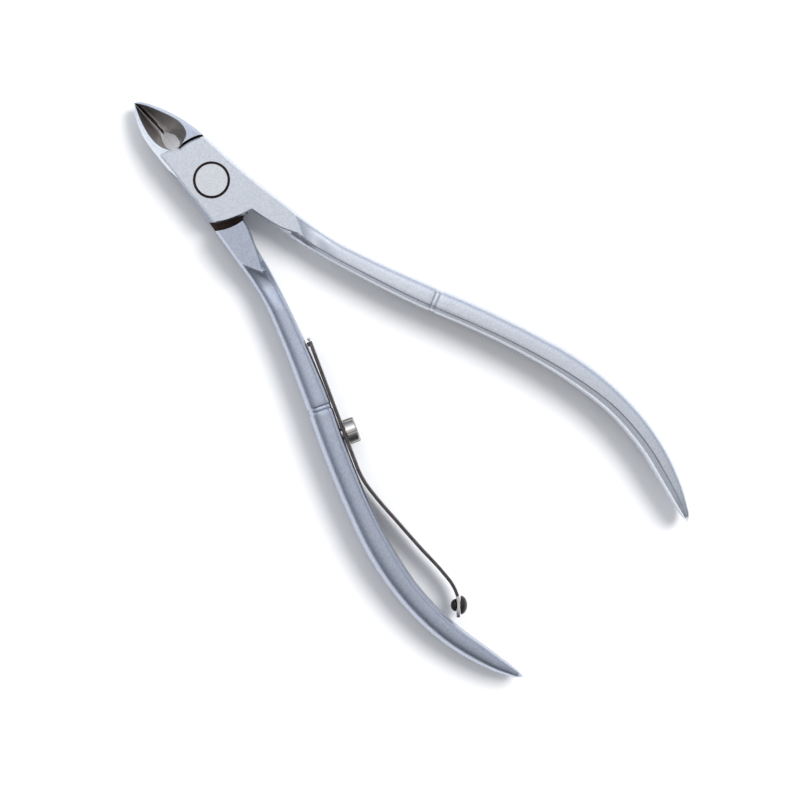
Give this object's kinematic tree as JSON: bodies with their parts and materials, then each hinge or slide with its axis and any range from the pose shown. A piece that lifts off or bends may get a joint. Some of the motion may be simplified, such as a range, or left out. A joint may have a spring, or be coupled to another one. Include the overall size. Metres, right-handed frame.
{
  "type": "cuticle nipper",
  "caption": "Cuticle nipper: crossed steel levers in a lap joint, hollow-ground jaws that meet edge to edge, and a leaf spring that swivels on its screw and ends in a bumper.",
  "frame": {"origin": "on the pivot axis, in the joint's rear face", "axes": "+Z along the pivot axis out of the joint's front face, +Y towards the jaws' tip, +X towards the front lever's handle"},
  "size_m": [0.0483, 0.1084, 0.008],
  "materials": {
    "front_lever_steel": "satin, fine bead-blasted",
    "rear_lever_steel": "satin, fine bead-blasted",
    "pin_steel": "satin, ground flush",
    "spring_steel": "blued and lightly polished",
    "polished_nickel": "polished",
    "black_plastic": "moulded, semi-gloss"
  },
  "bodies": {
    "rear_lever": {"rear_lever": "rear_lever_steel", "pivot_pin": "pin_steel", "spring_screw": "polished_nickel"},
    "front_lever": {"front_lever": "front_lever_steel"},
    "spring": {"leaf_spring": "spring_steel", "bumper": "black_plastic"}
  },
  "joints": [
    {"name": "lever_pivot", "type": "hinge", "parent": "rear_lever", "child": "front_lever", "pos_m": [0, 0, 0.0032], "axis": [0, 0, 1], "range_deg": [0, 20]},
    {"name": "spring_swivel", "type": "hinge", "parent": "rear_lever", "child": "spring", "pos_m": [-0.0121, -0.04335, 0.0032], "axis": [-0.9229, 0.385, 0], "range_deg": [0, 145]}
  ]
}
